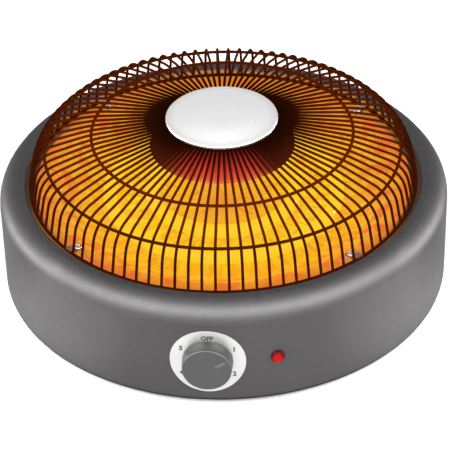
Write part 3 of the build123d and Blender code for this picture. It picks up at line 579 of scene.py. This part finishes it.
def dress_nodes():
    """Give every CAD node its material."""
    dress(casing_enamel(), "outer_casing")
    dress(guard_enamel(), "guard_wires", "guard_rim_ring", "guard_outer_ring",
          "guard_inner_ring", "guard_hub_plate")
    dress(cap_metal(), "centre_cap")
    dress(deflector_enamel(), "heat_deflector")
    dress(hot_dish(), "reflector_dish")
    dress(hot_quartz(), "outer_heating_tube", "inner_heating_tube")
    dress(hot_ceramic(), "tube_end_blocks")
    dress(zinc_sheet(), "base_plate", "heat_shield")
    dress(finish("zinc_steel"), "cap_nut", "cutout_screws", "earth_nut", "earth_stud",
          "guard_clip_nuts", "shield_nuts", "shield_spacers", "switch_nut", "switch_shaft",
          "switch_washer")
    dress(warm_steel("lip_steel"), "guard_clips")
    dress(warm_steel("dish_steel"), "clip_rivets", "shield_screws", "tube_clips")
    dress(finish("brass"), "tube_pins", "switch_tabs", "terminal_screws")
    dress(knob_plastic(), "control_knob")
    dress(dial_metal(), "dial_plate")
    dress(finish("switch_plastic"), "rotary_switch", "thermal_cutout", "terminal_block",
          "pilot_lamp_body")
    dress(lamp_red(), "pilot_lamp_lens")
    dress(finish("black_nylon"), "cable_gland", "gland_locknut", "pilot_lamp_nut")
    dress(finish("foot_rubber"), "rubber_feet")
    dress(finish("lead_sleeve"), "internal_leads")


def new_object(name, data):
    """An object in the scene."""
    made = bpy.data.objects.new(name, data)
    bpy.context.scene.collection.objects.link(made)
    return made


def add_piece(name, mesh, paint, replaces=None):
    """A piece that rides on the housing, with the given finish; the CAD node it replaces is
    hidden.
    """
    piece = new_object(name, mesh)
    piece.data.materials.append(paint.material)
    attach(piece, HOUSING)
    if replaces:
        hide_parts(replaces)


def settled_mesh(source):
    """The mesh of a curve, a text or a modified object, which is then deleted."""
    settled = source.evaluated_get(bpy.context.evaluated_depsgraph_get())
    mesh = bpy.data.meshes.new_from_object(settled)
    bpy.data.objects.remove(source)
    return mesh


def middle(values):
    """The middle between the lowest and the highest of some values."""
    values = list(values)
    return (max(values) + min(values)) / 2


def lettering(text, height, right, above, mesh):
    """Add raised letters to a mesh, on the dial's curve, by their middle's place on the dial."""
    curve = bpy.data.curves.new("lettering", "FONT")
    curve.body = text
    curve.extrude = 0.5
    curve.offset = MARK_BOLD
    curve.resolution_u = MARK_SMOOTHNESS
    made = settled_mesh(new_object("lettering", curve))
    xs = [vertex.co.x for vertex in made.vertices]
    ys = [vertex.co.y for vertex in made.vertices]
    scale = height / (max(ys) - min(ys))
    centre_x, centre_y = middle(xs), middle(ys)
    for vertex in made.vertices:
        turn = (right + (vertex.co.x - centre_x) * scale) / DIAL_RADIUS
        up = above + (vertex.co.y - centre_y) * scale
        out = DIAL_RADIUS + MARK_PROUD + MARK_THICKNESS * (vertex.co.z + curve.extrude)
        vertex.co = Vector((out * sin(turn), -out * cos(turn), DIAL_LEVEL + up))
    mesh.from_mesh(made)
    bpy.data.meshes.remove(made)


def dial_marks(paint):
    """The word OFF and the numbers of the heat positions."""
    mesh = bmesh.new()
    lettering("OFF", WORD_HEIGHT, 0.0, WORD_LEVEL, mesh)
    for number in range(1, POSITIONS + 1):
        angle = number * POSITION_STEP
        right, above = MARK_CIRCLE * sin(angle), MARK_CIRCLE * cos(angle)
        lettering(str(number), NUMBER_HEIGHT, right, above, mesh)
    data = bpy.data.meshes.new("dial_marks")
    mesh.to_mesh(data)
    mesh.free()
    add_piece("dial_marks", data, paint)


def coil(name, node, paint):
    """A fine helix of resistance wire, in place of a filament's plain bar."""
    low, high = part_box(node)
    level, section = (low.z + high.z) / 2, (high.z - low.z) / 2
    circle = high.x - section
    reach = section - COIL_WIRE
    points = [vertex.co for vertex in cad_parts[node].data.vertices]
    gap = min(pi - abs(atan2(point.x, -point.y)) for point in points)
    steps = round(2 * (pi - gap) * circle / COIL_PITCH) * COIL_STEPS
    curve = bpy.data.curves.new(name, "CURVE")
    curve.dimensions = "3D"
    curve.bevel_depth = COIL_WIRE
    curve.bevel_resolution = 1
    spline = curve.splines.new("POLY")
    spline.points.add(steps)
    for step, point in enumerate(spline.points):
        bearing = (pi - gap) * (2 * step / steps - 1)
        twist = 2 * pi * step / COIL_STEPS
        out = circle + reach * cos(twist)
        point.co = (out * sin(bearing), -out * cos(bearing), level + reach * sin(twist), 1.0)
    add_piece(name, settled_mesh(new_object(name, curve)), paint, node)


def lathe(mesh, profile, place, upright, sides, resize=None):
    """Turn a closed profile of (radius, height) points about an upright or a level axis."""
    rings = []
    for radius, height in profile:
        ring = []
        for step in range(sides):
            angle = 2 * pi * step / sides
            size = resize(radius, height, angle) if resize else radius
            x, y = size * cos(angle), size * sin(angle)
            offset = Vector((x, y, height) if upright else (x, height, y))
            ring.append(mesh.verts.new(place + offset))
        rings.append(ring)
    for ring, after in zip(rings, rings[1:] + rings[:1]):
        for step in range(sides):
            ahead = (step + 1) % sides
            mesh.faces.new((ring[step], ring[ahead], after[ahead], after[step]))


def finish_mesh(mesh, name):
    """Turn the faces outward and make a smooth-shaded mesh with crisp edges."""
    bmesh.ops.remove_doubles(mesh, verts=mesh.verts, dist=WELD_DISTANCE)
    bmesh.ops.recalc_face_normals(mesh, faces=mesh.faces)
    for face in mesh.faces:
        face.smooth = True
    for edge in mesh.edges:
        edge.smooth = len(edge.link_faces) == 2 and edge.calc_face_angle(0.0) < CREASE_ANGLE
    data = bpy.data.meshes.new(name)
    mesh.to_mesh(data)
    mesh.free()
    return data


def screw_middles(node, top, head, height):
    """The places of a node's screws, from the points near their heads' tops."""
    sectors = {}
    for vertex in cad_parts[node].data.vertices:
        point = vertex.co
        if abs(point.z - top) < height / 2:
            sector = round(atan2(point.x, -point.y) / SCREW_SECTOR)
            sectors.setdefault(sector, []).append(point)
    groups = []
    reach = SCREW_REACH * head
    for found in sectors.values():
        near = [group for group in groups if (group[0] - found[0]).length < reach]
        if near:
            near[0].extend(found)
        else:
            groups.append(found)
    return [Vector((middle(p.x for p in group), middle(p.y for p in group), 0.0))
            for group in groups]


def cross_screws(name, node, sizes, up, paint):
    """Pan-head screws with a cross slot, in place of a node's plain ones."""
    head, height, shank = sizes
    low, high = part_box(node)
    top, end = (high.z, low.z) if up > 0 else (low.z, high.z)
    seat = top - up * height
    arc = [radians(angle) for angle in range(0, 90, ARC_STEP)]
    dome = [(head * cos(a), seat + up * height * (HEAD_EDGE + (1 - HEAD_EDGE) * sin(a)))
            for a in arc]
    profile = [(AXIS_GAP, end), (shank, end), (shank, seat), (head, seat), *dome,
               (AXIS_GAP, top)]
    screws, slots = bmesh.new(), bmesh.new()
    for place in screw_middles(node, top, head, height):
        lathe(screws, profile, place, True, SCREW_SIDES)
        turn = SLOT_TURN + SLOT_TURN_SPREAD * place.x / place.length
        for angle in (turn, turn + pi / 2):
            for vertex in bmesh.ops.create_cube(slots, size=1.0)["verts"]:
                along = vertex.co.x * 2 * head * SLOT_LENGTH
                across = vertex.co.y * 2 * head * SLOT_WIDTH
                x = place.x + along * cos(angle) - across * sin(angle)
                y = place.y + along * sin(angle) + across * cos(angle)
                z = top + up * height * (vertex.co.z * 2 * SLOT_DEPTH)
                vertex.co = Vector((x, y, z))
    body = new_object("body", finish_mesh(screws, "body"))
    cutter = new_object("cutter", finish_mesh(slots, "cutter"))
    cut = body.modifiers.new("cut", "BOOLEAN")
    cut.operation = "DIFFERENCE"
    cut.solver = "EXACT"
    cut.object = cutter
    cut.use_self = True
    mesh = settled_mesh(body)
    bpy.data.objects.remove(cutter)
    add_piece(name, mesh, paint, node)


def fluted_cap(paint):
    """The gland's cap with its grip flutes."""
    low, high = GLAND_CAP
    length, radius = high.y - low.y, (high.x - low.x) / 2
    place = Vector(((low.x + high.x) / 2, low.y, (low.z + high.z) / 2))
    inner = radius - GLAND_WALL
    flute_end = length - 2 * GLAND_WALL

    def flute(size, height, angle):
        if size <= radius - GLAND_WALL / 2 or height >= flute_end:
            return size
        wave = max(0.0, cos(GLAND_FLUTES * angle))
        return size - GLAND_FLUTE_DEPTH * wave ** GLAND_FLUTE_SHARPNESS

    arc = [radians(angle) for angle in range(0, 91, ARC_STEP)]
    nose = [(radius - GLAND_WALL * (1 - cos(a)), length - GLAND_WALL * (1 - sin(a)))
            for a in arc]
    profile = [(inner, 0.0), (radius, 0.0), (radius, flute_end * GLAND_FLUTE_STOP),
               (radius, flute_end), *nose, (GLAND_BORE, length),
               (GLAND_BORE, length - GLAND_WALL), (inner, length - GLAND_WALL)]
    mesh = bmesh.new()
    lathe(mesh, profile, place, False, GLAND_FLUTES * GLAND_FLUTE_SIDES, flute)
    data = finish_mesh(mesh, "fluted_gland_cap")
    add_piece("fluted_gland_cap", data, paint, "gland_cap")


def make_details():
    """The pieces that are finer than their CAD nodes."""
    dial_marks(finish("mark_ink"))
    wire = filament_wire()
    coil("outer_coil", "outer_filament", wire)
    coil("inner_coil", "inner_filament", wire)
    cross_screws("clip_cross_screws", "guard_clip_screws", CLIP_SCREW, 1,
                 warm_steel("screw_steel"))
    cross_screws("base_cross_screws", "base_screws", BASE_SCREW, -1, finish("base_steel"))
    fluted_cap(finish("gland_nylon"))


def heading(bearing, elevation=0.0):
    """The direction from the axis towards a bearing and an elevation, in radians."""
    level = cos(elevation)
    return Vector((sin(bearing) * level, -cos(bearing) * level, sin(elevation)))


def make_camera():
    """The photograph's camera."""
    data = bpy.data.cameras.new("camera")
    data.sensor_width = SENSOR_WIDTH
    data.lens = FOCAL_PIXELS / FRAME_WIDTH * SENSOR_WIDTH
    camera = new_object("camera", data)
    back = heading(CAMERA_BEARING, CAMERA_ELEVATION)
    camera.location = Vector((0.0, 0.0, TARGET_HEIGHT)) + back * CAMERA_DISTANCE
    turn = atan((TARGET_PIXEL[0] - FRAME_WIDTH / 2) / FOCAL_PIXELS)
    tilt = atan((TARGET_PIXEL[1] - FRAME_WIDTH / 2) / FOCAL_PIXELS)
    camera.rotation_mode = "QUATERNION"
    camera.rotation_quaternion = (
        (-back).to_track_quat("-Z", "Y")
        @ Quaternion((0, 0, 1), CAMERA_ROLL)
        @ Quaternion((0, 1, 0), turn)
        @ Quaternion((1, 0, 0), tilt)
    )
    bpy.context.scene.camera = camera


def area_light(name, power):
    """A light with a face, which the camera doesn't see."""
    data = bpy.data.lights.new(name, "AREA")
    data.energy = power
    light = new_object(name, data)
    light.visible_camera = False
    return light


def soft_light(name, bearing, elevation, distance, width, height, power):
    """A wide light that faces the heater."""
    light = area_light(name, power)
    light.data.shape = "RECTANGLE"
    light.data.size, light.data.size_y = width, height
    back = heading(radians(bearing), radians(elevation))
    light.location = Vector((0.0, 0.0, TARGET_HEIGHT)) + back * distance
    light.rotation_euler = (-back).to_track_quat("-Z", "Y").to_euler()


def floor_light(name, bearing, power):
    """A small light that looks straight down at the floor beside the casing."""
    light = area_light(name, power)
    light.data.size = FLOOR_LIGHT_SIZE
    light.data.spread = FLOOR_LIGHT_SPREAD
    light.location = heading(radians(bearing)) * FLOOR_LIGHT_REACH
    light.location.z = FLOOR_LIGHT_HEIGHT


def make_stage():
    """A pale floor, a pale room and the lights."""
    bpy.ops.mesh.primitive_plane_add(size=FLOOR_SIZE)
    floor = bpy.context.object
    floor.name = "floor"
    paint = grained("floor_paper", FLOOR_COLOUR, FLOOR_ROUGHNESS, 0.0, FLOOR_GRAINS,
                    FLOOR_GRAIN_DEPTH, FLOOR_CONTRAST)
    floor.data.materials.append(paint.material)
    world = bpy.data.worlds.new("room")
    world.use_nodes = True
    background = world.node_tree.nodes["Background"]
    background.inputs["Color"].default_value = (*ROOM_COLOUR, 1.0)
    background.inputs["Strength"].default_value = ROOM_STRENGTH
    bpy.context.scene.world = world
    bpy.context.scene.view_settings.view_transform = "Standard"
    for name, facts in SOFT_LIGHTS.items():
        soft_light(name, *facts)
    for name, facts in FLOOR_LIGHTS.items():
        floor_light(name, *facts)


make_camera()
dress_nodes()
make_details()
make_stage()
